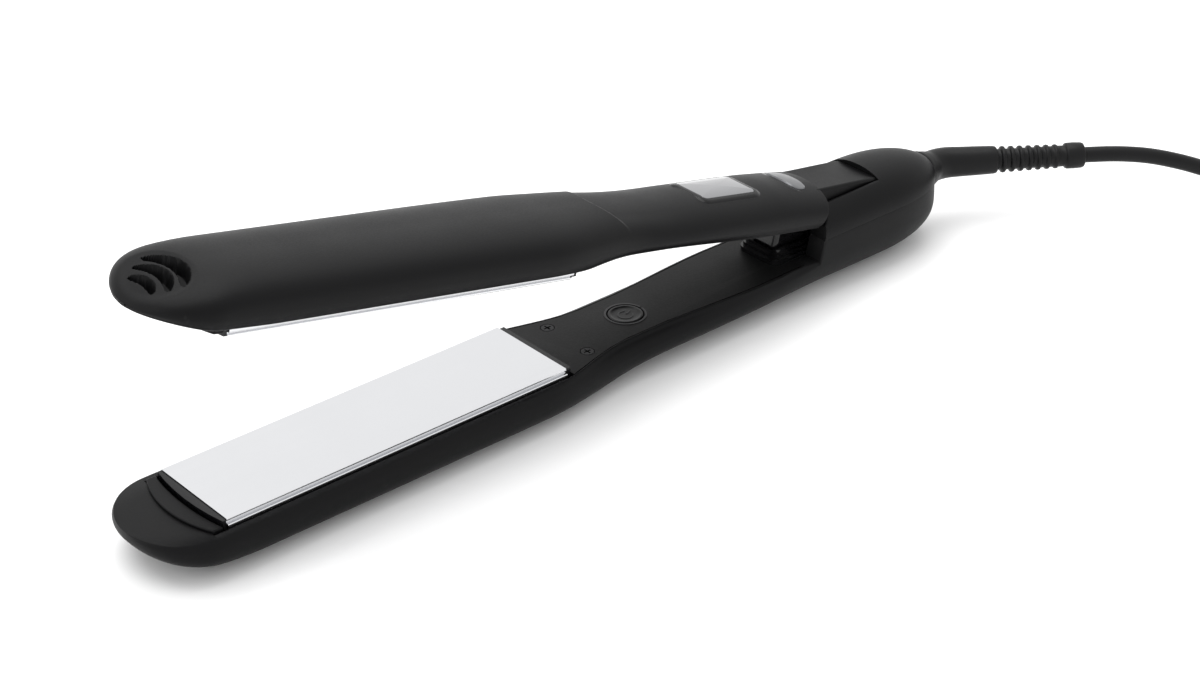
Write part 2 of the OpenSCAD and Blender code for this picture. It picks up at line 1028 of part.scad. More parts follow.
lower_casing();
lower_cover();
spring_collar();
housing_cover();
lower_plate();
lower_tray();
lower_heater();
lower_mica();
lower_sensor();
lower_cushions();
lower_cover_screws();
power_button();
main_board();
board_parts();
hinge_pin();
hinge_washers();
arm_spring();
upper_casing();
hinge_knuckle();
upper_cover();
spring_shroud();
upper_plate();
upper_tray();
upper_heater();
upper_mica();
upper_sensor();
upper_cushions();
upper_cover_screws();
display_window();
display_frame();
display_board();
heat_rocker();
cord_swivel();
strain_relief();
power_cord();
cord_hank();
cord_tie();
plug_body();
plug_pins();
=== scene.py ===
import json
import math

import bmesh
import bpy
from mathutils import Matrix, Vector


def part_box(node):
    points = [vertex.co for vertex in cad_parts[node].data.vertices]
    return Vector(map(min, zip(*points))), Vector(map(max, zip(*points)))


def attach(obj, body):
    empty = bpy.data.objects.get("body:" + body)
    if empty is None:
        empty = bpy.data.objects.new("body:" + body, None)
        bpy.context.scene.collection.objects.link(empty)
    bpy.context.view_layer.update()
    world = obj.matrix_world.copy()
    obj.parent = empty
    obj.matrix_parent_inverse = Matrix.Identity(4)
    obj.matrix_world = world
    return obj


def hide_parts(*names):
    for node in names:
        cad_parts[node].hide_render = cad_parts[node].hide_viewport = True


# A flat iron. The arms are drawn in millimetres in an arm's own frame: x runs back from the
# front edge of its plate, z = 0 is the face where the plates meet, and negative z goes into the
# arm. LOWER and UPPER turn that frame into the part's own, in metres.

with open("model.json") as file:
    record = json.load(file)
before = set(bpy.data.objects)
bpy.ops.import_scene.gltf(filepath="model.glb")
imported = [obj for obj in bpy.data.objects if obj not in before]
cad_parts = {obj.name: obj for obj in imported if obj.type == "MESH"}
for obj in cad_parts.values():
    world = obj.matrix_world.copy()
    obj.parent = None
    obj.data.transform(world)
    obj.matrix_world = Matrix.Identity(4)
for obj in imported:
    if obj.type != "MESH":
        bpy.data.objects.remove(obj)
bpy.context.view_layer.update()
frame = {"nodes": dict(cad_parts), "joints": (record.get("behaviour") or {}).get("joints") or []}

# ---------- the frame ----------

MM = 0.001
plate_low, plate_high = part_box("lower_plate")
arm_hinge = next(j for j in frame["joints"] if j["name"] == "arm_hinge")
hinge_at = Vector(arm_hinge["pos_m"])
OPEN_ANGLE = math.radians(12.2)  # how far the upper arm stands open at rest
LOWER = Matrix.Translation((plate_low.x, 0, plate_high.z)) @ Matrix.Scale(MM, 4)
UPPER = (
    Matrix.Translation(hinge_at)
    @ Matrix.Rotation(OPEN_ANGLE, 4, "Y")
    @ Matrix.Translation(-hinge_at)
    @ LOWER
    @ Matrix.Diagonal((1, 1, -1, 1))
)
PART = Matrix.Scale(MM, 4)

# ---------- sizes, in millimetres ----------

TIP_X, HOUSING_END = -17, 222
NOSE_START, REAR_START = -3, 200  # the arms' outline rounds off beyond these
CROWN_START, BLUNT = 9, 0.4  # the crown falls towards a point this far past the tip
FACE_Z = -2  # an arm's inner face, beside its plate and its cover
SEAM_Z = 3.5  # where the housing's hood meets the lower shell
PLATE_WIDTH, WAIST_WIDTH, GRIP_WIDTH = 32.6, 25.6, 24.6
PLATE_FACE, GRIP_FACE = 0.93, 0.76  # the flat inner face's share of the width
LOWER_CROWN, LOWER_GRIP, LOWER_HEEL = 12.4, 11.4, 1  # depths, and what the heel adds
UPPER_CROWN, UPPER_RIDGE, UPPER_DROP = 13.2, 12.8, 1.2  # depths, and each later drop
HOOD_HEIGHT = 8.9
HINGE_X, HINGE_Z = 197.8, 3
SWIVEL_Z = 2.5
CHEEK_HALF = 7
COVER_FRONT, COVER_END = 93.9, 170
POCKET_HALF, POCKET_FLOOR = 13.2, -9
POWER_X = 121
ROCKER_X = 171
WINDOW_FRONT, WINDOW_END, WINDOW_HALF = 137.5, 155.5, 5.6
CORD_R = 2.1


# ---------- shape of the arms ----------

def ease(t):
    """From 0 to 1 with a soft start and end."""
    u = max(0.0, min(1.0, t))
    return u * u * (3 - 2 * u)


def mix(x, a, b, start, end):
    """From start at a to end at b, softly."""
    return start + (end - start) * ease((x - a) / (b - a))


def round_off(t, p):
    """1 up to t = 0, then down to 0 at t = 1 along a superellipse of power p."""
    return 1.0 if t <= 0 else max(0.0, 1 - min(t, 1) ** p) ** (1 / p)


def arm_half(x):
    """Half of an arm's width."""
    if x < 116:
        width = mix(x, 84, 116, PLATE_WIDTH, WAIST_WIDTH)
    else:
        width = mix(x, 130, 180, WAIST_WIDTH, GRIP_WIDTH)
    front = round_off((NOSE_START - x) / (NOSE_START - TIP_X), 2)
    rear = round_off((x - REAR_START) / 24, 2.3)
    return front * rear * width / 2


def face_half(x):
    """Half of the width of an arm's flat inner face; it is narrowest by the power button."""
    if x < 118:
        share = mix(x, 88, 113, PLATE_FACE, GRIP_FACE)
    else:
        share = mix(x, 122, 158, GRIP_FACE, PLATE_FACE)
    return arm_half(x) * share


def squareness(x):
    """The power of a section's superellipse: squarer at the plate than at the handle."""
    return mix(x, 98, 125, 2.6, 2.1)


def nose(x, power=2.3):
    """How much of the crown is left towards the tip."""
    return round_off((CROWN_START - x) / (CROWN_START + BLUNT - TIP_X), power)


def lower_depth(x):
    rim = -FACE_Z
    crown = mix(x, 96, 125, LOWER_CROWN, LOWER_GRIP) + mix(x, 150, 190, 0, LOWER_HEEL)
    return rim + (crown - rim) * nose(x, 2.05) * round_off((x - REAR_START) / 27, 2.2)


def upper_depth(x):
    rim = -FACE_Z
    crown = mix(x, 60, 105, UPPER_CROWN, UPPER_RIDGE)
    crown += mix(x, 105, 132, 0, -UPPER_DROP)
    crown += mix(x, 160, 180, 0, -UPPER_DROP)
    return rim + (crown - rim) * nose(x)


def hood_height(x):
    return HOOD_HEIGHT * round_off((x - 196) / 29, 2.2)


def mid_height(depth, top):
    """Where a side is widest, between its rim at top and the crown at -depth."""
    return top - 0.34 * (depth + top)


def spaced(start, end, step):
    """Even places from start to end, at most a step apart."""
    count = max(1, math.ceil(abs(end - start) / step))
    return [start + (end - start) * i / count for i in range(count + 1)]


def resample(points, count):
    """The same line through count points, evenly spaced."""
    lengths = [0.0]
    for a, b in zip(points, points[1:]):
        lengths.append(lengths[-1] + math.dist(a, b))
    made, k = [], 0
    for i in range(count):
        want = lengths[-1] * i / (count - 1)
        while k < len(points) - 2 and lengths[k + 1] < want:
            k += 1
        span = max(lengths[k + 1] - lengths[k], 1e-9)
        t = (want - lengths[k]) / span
        made.append(tuple(p + (q - p) * t for p, q in zip(points[k], points[k + 1])))
    return made


def side_line(half, rim, top, mid, depth, power, count=92):
    """A section of a shell from the near rim down around the crown to the far rim."""
    edge = min(0.45, 0.3 * half)
    near = []
    for k in range(5):
        a = math.radians(90 - 22.5 * k)
        near.append((-(rim - edge + edge * math.cos(a)), top - edge + edge * math.sin(a)))
    for k in range(1, 9):
        u = 1 - k / 9
        near.append((-(half - (half - rim) * u * u), mid + (top - edge - mid) * u))
    for k in range(61):
        a = math.radians(90 * k / 60)
        across = half * math.cos(a) ** (2 / power)
        down = (depth + mid) * math.sin(a) ** (2 / power)
        near.append((-across, mid - down))
    far = [(-y, z) for y, z in reversed(near[:-1])]
    return resample(near + far, count)


def crown_at(x, y):
    """How far the upper arm's outer face is from the plates' meeting face."""
    depth, half, power = upper_depth(x), arm_half(x), squareness(x)
    mid = mid_height(depth, FACE_Z)
    share = max(0.0, 1 - min(1.0, abs(y) / max(half, 0.1)) ** power) ** (1 / power)
    return -mid + (depth + mid) * share


# ---------- meshes ----------

def make_object(name, parts, matrix, body, material, replaced=(), sharp=35):
    """A piece made of (points, faces) parts, placed by matrix, that rides on body."""
    mesh = mesh_from(name, parts, matrix)
    for polygon in mesh.polygons:
        polygon.use_smooth = True
    mesh.set_sharp_from_angle(angle=math.radians(sharp))
    obj = bpy.data.objects.new(name, mesh)
    bpy.context.scene.collection.objects.link(obj)
    mesh.materials.append(material)
    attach(obj, body)
    if replaced:
        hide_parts(*replaced)
    return obj


def mesh_from(name, parts, matrix):
    """One mesh from several (points, faces) parts, with its normals outward."""
    bm = bmesh.new()
    for points, faces in parts:
        verts = [bm.verts.new(matrix @ Vector(p)) for p in points]
        for f in faces:
            bm.faces.new([verts[i] for i in f])
    bmesh.ops.remove_doubles(bm, verts=bm.verts, dist=2e-6)
    bmesh.ops.dissolve_degenerate(bm, edges=bm.edges, dist=1e-6)
    bmesh.ops.recalc_face_normals(bm, faces=bm.faces)
    mesh = bpy.data.meshes.new(name)
    bm.to_mesh(mesh)
    bm.free()
    return mesh


def band(near, far, n):
    """Faces between two rings of n points whose first points are near and far."""
    return [(near + k, near + (k + 1) % n, far + (k + 1) % n, far + k) for k in range(n)]


def loft(rings):
    """Points and faces of a skin over rings of equally many points, with both ends capped."""
    n, last = len(rings[0]), len(rings) - 1
    points = [p for ring in rings for p in ring]
    faces = []
    for i in range(last):
        faces += band(i * n, (i + 1) * n, n)
    faces.append(tuple(range(n)))
    faces.append(tuple(last * n + k for k in range(n)))
    return points, faces


def lathe(profile, steps=72):
    """A body turned about its own z axis; profile is (radius, z) from its foot to its top."""
    angles = [2 * math.pi * k / steps for k in range(steps)]
    return loft([[(r * math.cos(a), r * math.sin(a), z) for a in angles] for r, z in profile])


def prism(outline, low, high, plane="xy"):
    """An outline pushed through from low to high, in the xy or the xz plane."""
    place = (lambda a, b, c: (a, b, c)) if plane == "xy" else (lambda a, b, c: (a, c, b))
    return loft([[place(a, b, level) for a, b in outline] for level in (low, high)])


def superellipse(half_a, half_b, power, steps):
    """An outline between an ellipse, power 2, and a box."""
    made = []
    for k in range(steps):
        a = 2 * math.pi * k / steps
        c, s = math.cos(a), math.sin(a)
        made.append((half_a * math.copysign(abs(c) ** (2 / power), c),
                     half_b * math.copysign(abs(s) ** (2 / power), s)))
    return made


def rounded_box(length, width, radius, steps=10):
    """An outline of a box with round corners."""
    made = []
    for k, (sx, sy) in enumerate(((1, 1), (-1, 1), (-1, -1), (1, -1))):
        for i in range(steps + 1):
            a = math.radians(90 * (k + i / steps))
            made.append((
                sx * (length / 2 - radius) + radius * math.cos(a),
                sy * (width / 2 - radius) + radius * math.sin(a),
            ))
    return made


def soften(obj, width, segments=3, angle=35):
    """Round the sharp edges a little."""
    bevel = obj.modifiers.new("edges", "BEVEL")
    bevel.width = width * MM
    bevel.segments = segments
    bevel.limit_method = "ANGLE"
    bevel.angle_limit = math.radians(angle)
    bevel.harden_normals = False


def drape(outline, lift, edge, rings=16, dome=0.0):
    """A thin pad that follows the upper arm's crown inside an outline about its middle.
    lift is how far it stands above the crown, edge the width over which it falls away at its
    outline, and dome how much higher its middle is."""
    sunk, thickness = 0.4, 0.6
    n = len(outline)
    cx = sum(p[0] for p in outline) / n
    cy = sum(p[1] for p in outline) / n
    points = [(cx, cy, -(crown_at(cx, cy) + lift + dome))]
    for i in range(1, rings + 1):
        t = i / rings
        for x, y in outline:
            fall = 1 - ease((1 - t) * math.hypot(x - cx, y - cy) / edge)
            px, py = cx + (x - cx) * t, cy + (y - cy) * t
            height = crown_at(px, py) + lift + dome * (1 - t * t) - fall * (lift + sunk)
            points.append((px, py, -height))
    faces = [(0, 1 + k, 1 + (k + 1) % n) for k in range(n)]
    for i in range(rings - 1):
        faces += band(1 + i * n, 1 + (i + 1) * n, n)
    last, base = 1 + (rings - 1) * n, len(points)
    points += [(x, y, z + thickness) for x, y, z in points[last:]]
    faces += band(last, base, n)
    faces.append(tuple(base + k for k in range(n)))
    return points, faces


def sweep(path, radii, sides=40):
    """A round skin along points, each with its own radius."""
    rings = []
    for i, p in enumerate(path):
        t = (Vector(path[min(i + 1, len(path) - 1)]) - Vector(path[max(i - 1, 0)])).normalized()
        side = t.cross(Vector((0, 0, 1))).normalized()
        over = side.cross(t)
        rings.append([
            tuple(Vector(p) + radii[i] * (math.cos(a) * side + math.sin(a) * over))
            for a in (2 * math.pi * k / sides for k in range(sides))
        ])
    return loft(rings)


# ---------- materials ----------

def finish(name, colour, roughness, metallic=0.0, grain=1400.0, relief=0.00002, mottle=0.12,
           spread=0.06, stretch=(1, 1, 1), wear=0.0, coat=0.0, specular=0.5, blotch=60.0):
    """A surface with a fine grain, uneven tone and gloss, and paler worn edges."""
    material = bpy.data.materials.new(name)
    material.use_nodes = True
    nodes, links = material.node_tree.nodes, material.node_tree.links
    shader = nodes["Principled BSDF"]
    shader.inputs["Metallic"].default_value = metallic
    shader.inputs["Coat Weight"].default_value = coat
    shader.inputs["Coat Roughness"].default_value = 0.08
    shader.inputs["Specular IOR Level"].default_value = specular
    place = nodes.new("ShaderNodeTexCoord")
    turn = nodes.new("ShaderNodeMapping")
    turn.inputs["Scale"].default_value = stretch
    links.new(place.outputs["Object"], turn.inputs["Vector"])

    fine = nodes.new("ShaderNodeTexNoise")
    fine.inputs["Scale"].default_value = grain
    fine.inputs["Detail"].default_value = 4
    links.new(turn.outputs["Vector"], fine.inputs["Vector"])
    broad = nodes.new("ShaderNodeTexNoise")
    broad.inputs["Scale"].default_value = blotch
    broad.inputs["Detail"].default_value = 6
    links.new(place.outputs["Object"], broad.inputs["Vector"])

    tone = nodes.new("ShaderNodeMix")
    tone.data_type = "RGBA"
    tone.inputs["A"].default_value = (*[c * (1 - mottle) for c in colour], 1)
    tone.inputs["B"].default_value = (*[min(1, c * (1 + mottle)) for c in colour], 1)
    links.new(broad.outputs["Fac"], tone.inputs["Factor"])
    last = tone.outputs["Result"]
    if wear:
        shape = nodes.new("ShaderNodeNewGeometry")
        edge = nodes.new("ShaderNodeMapRange")
        edge.inputs["From Min"].default_value = 0.53
        edge.inputs["From Max"].default_value = 0.64
        edge.inputs["To Max"].default_value = wear
        links.new(shape.outputs["Pointiness"], edge.inputs["Value"])
        worn = nodes.new("ShaderNodeMix")
        worn.data_type = "RGBA"
        worn.inputs["B"].default_value = (*[min(1, c * 2 + 0.04) for c in colour], 1)
        links.new(edge.outputs["Result"], worn.inputs["Factor"])
        links.new(last, worn.inputs["A"])
        last = worn.outputs["Result"]
    links.new(last, shader.inputs["Base Color"])

    gloss = nodes.new("ShaderNodeMapRange")
    gloss.inputs["From Min"].default_value = 0.3
    gloss.inputs["From Max"].default_value = 0.7
    gloss.inputs["To Min"].default_value = max(0.02, roughness - spread)
    gloss.inputs["To Max"].default_value = roughness + spread
    both = nodes.new("ShaderNodeMath")
    both.operation = "MULTIPLY_ADD"
    both.inputs[1].default_value = 0.5
    links.new(fine.outputs["Fac"], both.inputs[0])
    half = nodes.new("ShaderNodeMath")
    half.operation = "MULTIPLY"
    half.inputs[1].default_value = 0.5
    links.new(broad.outputs["Fac"], half.inputs[0])
    links.new(half.outputs["Value"], both.inputs[2])
    links.new(both.outputs["Value"], gloss.inputs["Value"])
    links.new(gloss.outputs["Result"], shader.inputs["Roughness"])

    bump = nodes.new("ShaderNodeBump")
    bump.inputs["Strength"].default_value = 0.6
    bump.inputs["Distance"].default_value = relief
    links.new(fine.outputs["Fac"], bump.inputs["Height"])
    links.new(bump.outputs["Normal"], shader.inputs["Normal"])
    return material


shell_black = finish("shell_black", (0.0022, 0.0022, 0.0025), 0.45, grain=2600, relief=0.00003,
                     mottle=0.25, wear=0.1, specular=0.12)
panel_black = finish("panel_black", (0.0028, 0.0028, 0.003), 0.5, grain=1900, relief=0.00004,
                     mottle=0.25, wear=0.1, specular=0.14)
gloss_black = finish("gloss_black", (0.002, 0.002, 0.0024), 0.14, grain=900, relief=0.000004,
                     wear=0.1, specular=0.3)
tray_black = finish("tray_black", (0.0025, 0.0025, 0.003), 0.22, grain=1500, relief=0.00001,
                    wear=0.1, specular=0.25)
button_black = finish("button_black", (0.003, 0.003, 0.0033), 0.34, grain=2200, relief=0.00002,
                      wear=0.15, specular=0.18)
screw_black = finish("screw_black", (0.008, 0.008, 0.009), 0.35, metallic=0.6, grain=900,
                     relief=0.00001, specular=0.2)
plate_metal = finish("plate_metal", (0.69, 0.695, 0.71), 0.11, metallic=1.0, grain=700,
                     relief=0.0000015, mottle=0.03, spread=0.05, stretch=(0.04, 1, 1), blotch=25)
steel = finish("steel", (0.55, 0.56, 0.58), 0.3, metallic=1.0, grain=900, relief=0.00001,
               stretch=(0.2, 1, 1))
ceramic = finish("ceramic", (0.82, 0.8, 0.74), 0.55, grain=1200)
mica = finish("mica", (0.62, 0.46, 0.26), 0.35, grain=300, mottle=0.3, blotch=220)
silicone = finish("silicone", (0.6, 0.22, 0.12), 0.5, grain=900)
board_green = finish("board_green", (0.03, 0.16, 0.07), 0.35, grain=500, mottle=0.25, blotch=400)
component = finish("component", (0.09, 0.09, 0.1), 0.4, grain=900, mottle=0.3)
display_glass = finish("display_glass", (0.095, 0.097, 0.104), 0.14, grain=500, relief=0.000001,
                       mottle=0.06, spread=0.04, coat=1.0, blotch=30)
trim_black = finish("trim_black", (0.002, 0.002, 0.0023), 0.25, grain=1200, relief=0.000006,
                    wear=0.3, specular=0.2)
rocker_silver = finish("rocker_silver", (0.13, 0.132, 0.138), 0.32, metallic=0.75, grain=1600,
                       relief=0.000008, mottle=0.08, wear=0.3)
cord_rubber = finish("cord_rubber", (0.003, 0.003, 0.0033), 0.42, grain=1100, relief=0.00004,
                     mottle=0.25, specular=0.18)
plug_rubber = finish("plug_rubber", (0.0035, 0.0035, 0.0038), 0.44, grain=1500, relief=0.00004,
                     wear=0.3, specular=0.2)
pin_metal = finish("pin_metal", (0.8, 0.79, 0.76), 0.2, metallic=1.0, grain=500, relief=0.000005,
                   stretch=(0.1, 1, 1))
tie_fabric = finish("tie_fabric", (0.02, 0.02, 0.021), 0.7, grain=1500, relief=0.0002,
                    stretch=(1, 3, 3), mottle=0.4)
mark_grey = finish("mark_grey", (0.02, 0.02, 0.021), 0.4, specular=0.2, grain=1500)
floor_white = finish("floor_white", (0.86, 0.86, 0.86), 0.6, grain=30, relief=0.00001,
                     mottle=0.01, spread=0.03, blotch=3)

# ---------- camera ----------

AZIMUTH, ELEVATION = math.radians(-41), math.radians(30.25)
back = Vector((
    math.sin(AZIMUTH) * math.cos(ELEVATION),
    -math.cos(AZIMUTH) * math.cos(ELEVATION),
    math.sin(ELEVATION),
))
right = Vector((math.cos(AZIMUTH), math.sin(AZIMUTH), 0))
up = back.cross(right)
AIM = Vector((-12.5, -26.5, 27.5)) * MM
DISTANCE = 560.86 * MM

camera_data = bpy.data.cameras.new("camera")
camera_data.lens = 76.5
camera_data.sensor_width = 36
camera_data.clip_start = 0.01
camera_data.clip_end = 50
camera = bpy.data.objects.new("camera", camera_data)
bpy.context.scene.collection.objects.link(camera)
camera.matrix_world = Matrix((
    (right.x, up.x, back.x, AIM.x + back.x * DISTANCE),
    (right.y, up.y, back.y, AIM.y + back.y * DISTANCE),
    (right.z, up.z, back.z, AIM.z + back.z * DISTANCE),
    (0, 0, 0, 1),
))
bpy.context.scene.camera = camera

# ---------- cord ----------

# The cord's middle line, in the part's own millimetres: ROUTE leads from inside the strain
# relief down to the floor and on to the hank, which is wound in flat rings, two layers deep.
ROUTE = [
    (159.6, -21.6, 14.9), (167, -26.4, 14.6), (175, -31.2, 13.2), (183, -36.4, 10.6),
    (191, -41.8, 7.2), (199, -47, 4.6), (208, -51.8, 3.2), (218, -55.2, 2.9),
    (229, -56.8, 2.9), (240, -57, 2.9),
]
HANK_X0, HANK_X1, HANK_Y = 240, 306, -36  # the hank's two end centres
HANK_RADII = (12.6, 16.8, 21)
LAYERS = (2.9, 7.1, 11.3)  # heights of the rings; the last turn crosses to the plug
SIDE_STEPS, END_STEPS = 12, 14
PLUG_X, PLUG_Z = 277, 16.7
PLUG_L, PLUG_W, PLUG_H = 30, 23, 15
CORD_IN_PLUG = 2


def smooth_route(points, steps):
    """A smooth line through the points, with this many steps from each to the next."""
    made = []
    for i in range(len(points) - 1):
        a, b, c, d = (Vector(points[max(0, min(len(points) - 1, i + k))]) for k in (-1, 0, 1, 2))
        for s in range(steps):
            t = s / steps
            made.append(0.5 * (2 * b + (c - a) * t + (2 * a - 5 * b + 4 * c - d) * t * t
                               + (3 * b - a - 3 * c + d) * t ** 3))
    return made + [Vector(points[-1])]


def hank_turn(r0, r1, z0, z1):
    """One turn from the near left corner; it shifts from one ring to the next on its near side."""
    made = []
    for k in range(1, SIDE_STEPS + 1):
        t = k / SIDE_STEPS
        r = r0 + (r1 - r0) * ease(t)
        x, z = HANK_X0 + (HANK_X1 - HANK_X0) * t, z0 + (z1 - z0) * ease(t)
        made.append(Vector((x, HANK_Y - r, z)))
    for k in range(1, END_STEPS + 1):
        a = math.pi * (k / END_STEPS - 0.5)
        made.append(Vector((HANK_X1 + r1 * math.cos(a), HANK_Y + r1 * math.sin(a), z1)))
    for k in range(1, SIDE_STEPS + 1):
        made.append(Vector((HANK_X1 + (HANK_X0 - HANK_X1) * k / SIDE_STEPS, HANK_Y + r1, z1)))
    for k in range(1, END_STEPS + 1):
        a = math.pi * (k / END_STEPS + 0.5)
        made.append(Vector((HANK_X0 + r1 * math.cos(a), HANK_Y + r1 * math.sin(a), z1)))
    return made


cord_points = smooth_route(ROUTE, 4)
turns = [(r, LAYERS[0]) for r in reversed(HANK_RADII)]
turns += [(r, LAYERS[1]) for r in HANK_RADII]
turns.append((HANK_RADII[1], LAYERS[2]))
r_now, z_now = turns[0]
for r_next, z_next in turns:
    cord_points += hank_turn(r_now, r_next, z_now, z_next)
    r_now, z_now = r_next, z_next
tail_from = cord_points[-1]
for k in range(1, SIDE_STEPS + 1):
    t = k / SIDE_STEPS
    cord_points.append(Vector((
        tail_from.x + (PLUG_X + CORD_IN_PLUG - tail_from.x) * t,
        tail_from.y + (HANK_Y - tail_from.y) * ease(t),
        tail_from.z + (PLUG_Z - tail_from.z) * ease(t),
    )))

curve = bpy.data.curves.new("mains_cord", "CURVE")
curve.dimensions = "3D"
curve.bevel_depth = CORD_R * MM
curve.bevel_resolution = 5
curve.use_fill_caps = True
line = curve.splines.new("POLY")
line.points.add(len(cord_points) - 1)
for point, place in zip(line.points, cord_points):
    point.co = (*(place * MM), 1)
curve.materials.append(cord_rubber)
mains_cord = bpy.data.objects.new("mains_cord", curve)
bpy.context.scene.collection.objects.link(mains_cord)
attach(mains_cord, "swivel")
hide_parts("power_cord", "cord_hank")

# strain relief: straight, bent sideways, straight again, with ribs and an end collar
RELIEF_START, RELIEF_TURN, RELIEF_TURN_R, RELIEF_BEND = 222.3, 4.8, 10, math.radians(34)
RELIEF_ARC = RELIEF_TURN_R * RELIEF_BEND
SHANK_R, SLEEVE_R = 1.6, 4.15
RIB_FROM, RIB_PITCH, RIB_WIDTH, RIB_COUNT = 23.7, 2.35, 1.35, 7
RIB_R, GROOVE_R = 3.5, 2.8
RELIEF_END = 46.1


def relief_place(s):
    """The middle of the strain relief at a distance s along it."""
    a = RELIEF_BEND * max(0, min(1, (s - RELIEF_TURN) / RELIEF_ARC))
    if s < RELIEF_TURN:
        return (RELIEF_START + s, 0, SWIVEL_Z)
    rest = max(0, s - RELIEF_TURN - RELIEF_ARC)
    x = RELIEF_TURN + RELIEF_TURN_R * math.sin(a) + rest * math.cos(a)
    y = -RELIEF_TURN_R * (1 - math.cos(a)) - rest * math.sin(a)
    return (RELIEF_START + x, y, SWIVEL_Z)


def relief_rows():
    """(distance along the strain relief, its radius there)"""
    rows = [(-7.3, SHANK_R), (-0.3, SHANK_R), (-0.25, 4.7), (0.1, 5.25), (0.6, 5.35), (1.4, 5.0)]
    rows += [(1.4 + 3.4 * t, 4.95 - 0.8 * ease(t)) for t in (0.25, 0.5, 0.75, 1)]
    rows += [(s, SLEEVE_R - 0.32 * ease((s - RELIEF_TURN) / 12)) for s in spaced(5.3, 16.5, 0.8)]
    rows += [(18, 3.78), (20, 3.72), (22, 3.64), (22.5, 3.5), (22.75, 3.15), (22.85, 2.75)]
    for k in range(RIB_COUNT):
        s, r = RIB_FROM + RIB_PITCH * k, RIB_R - 0.05 * k
        rows += [(s - 0.2, GROOVE_R - 0.08), (s, GROOVE_R), (s + 0.1, r - 0.35),
                 (s + 0.3, r - 0.08), (s + RIB_WIDTH / 2, r), (s + RIB_WIDTH - 0.3, r - 0.08),
                 (s + RIB_WIDTH - 0.1, r - 0.35), (s + RIB_WIDTH, GROOVE_R)]
    rows += [(40.8, 2.75), (41, 3.0), (41.2, 3.3), (41.6, 3.42), (43.5, 3.45), (45.4, 3.35),
             (45.9, 3.15), (RELIEF_END, 2.75), (RELIEF_END + 0.02, 2.2)]
    return rows


relief_skin = sweep([relief_place(s) for s, r in relief_rows()], [r for s, r in relief_rows()])
relief = make_object("cord_guard", [relief_skin], LOWER, "swivel", cord_rubber,
                     ["strain_relief"], sharp=60)

# plug: each row is (distance from where the cord goes in, half width, half height)
GRIP_RIDGES, RIDGE_PITCH, RIDGE_WIDTH = 4, 3, 1.5
plug_rows = [(0, 3.6, 3.6), (0.4, 4.2, 4.0), (2.4, 5.4, 4.8), (5, 7.4, 5.7), (8, 9.2, 6.5)]
for k in range(GRIP_RIDGES):
    x = 9 + RIDGE_PITCH * k
    plug_rows += [(x, 9.9, 6.7), (x + 0.3, 9.3, 6.2), (x + RIDGE_WIDTH - 0.3, 9.3, 6.2),
                  (x + RIDGE_WIDTH, 9.9, 6.7)]
plug_rows += [(21.5, 10.2, 6.9), (22.3, 11.3, 7.4), (23, PLUG_W / 2, PLUG_H / 2),
              (28.6, PLUG_W / 2, PLUG_H / 2), (29.6, 11.2, 7.2), (PLUG_L, 10.6, 6.6)]
plug_rings = []
for x, half_w, half_h in plug_rows:
    section = superellipse(half_w, half_h, 2.4 if x < 6 else 3.2, 48)
    plug_rings.append([(PLUG_X + x, HANK_Y + y, PLUG_Z + z) for y, z in section])
plug = make_object("plug_moulding", [loft(plug_rings)], PART, "swivel", plug_rubber,
                   ["plug_body"], sharp=40)

# ---------- lower arm and housing ----------

COVER_LEDGE = FACE_Z - 1.65
POCKET_FRONT, POCKET_END = -3.8, COVER_FRONT - 1
HINGE_ROOM_X, HINGE_ROOM_END, HINGE_ROOM_FLOOR = 166, 206, -8.6
RISE_X, RISE_RUN = 174.14, 1.26  # behind the cover the rim rises to the housing's seam
STEP_GAP = 0.02  # between the two sections that make a sudden step


def lower_room(x):
    """What is let into the lower arm's inner face at x: the half width and height of a ledge,
    then the half width and floor of a deeper room inside it."""
    if x < POCKET_FRONT or x > HINGE_ROOM_END:
        return None
    if x < POCKET_END:
        return POCKET_HALF, POCKET_FLOOR, POCKET_HALF - 1, POCKET_FLOOR
    if x < HINGE_ROOM_X:
        return face_half(x) - 1, COVER_LEDGE, CHEEK_HALF, COVER_LEDGE
    if x < COVER_END:
        return face_half(x) - 1, COVER_LEDGE, CHEEK_HALF, HINGE_ROOM_FLOOR
    return CHEEK_HALF, COVER_LEDGE, CHEEK_HALF - 0.05, HINGE_ROOM_FLOOR


def lower_top(x):
    return FACE_Z + (SEAM_Z - FACE_Z) * max(0.0, min(1.0, (x - RISE_X) / RISE_RUN))


def closed_section(x, line, top, room):
    """A side line closed across the inner face, through its room if it has one there."""
    flat = 0.6 * abs(line[0][0])
    half, ledge, deep, floor = room if room else (flat, top, 0.9 * flat, top)
    edge = 0.2 if room else 0
    wall = [(half + edge, top), (half, top - edge), (half, ledge), (deep, ledge), (deep, floor)]
    inside = wall + [(deep * (1 - k / 4), floor) for k in range(1, 8)]
    inside += [(-y, z) for y, z in reversed(wall)]
    return [(x, y, z) for y, z in line + inside]


def lower_ring(x):
    top, half, depth = lower_top(x), arm_half(x), lower_depth(x)
    rim = face_half(x) + (half - 0.25 - face_half(x)) * ease((x - 166) / 10)
    arm_mid = mid_height(depth, FACE_Z)
    mid = mix(x, 150, 186, arm_mid, -1.9)
    line = side_line(half, min(rim, half), top, min(mid, top - 0.8), depth, squareness(x))
    return closed_section(x, line, top, lower_room(x))


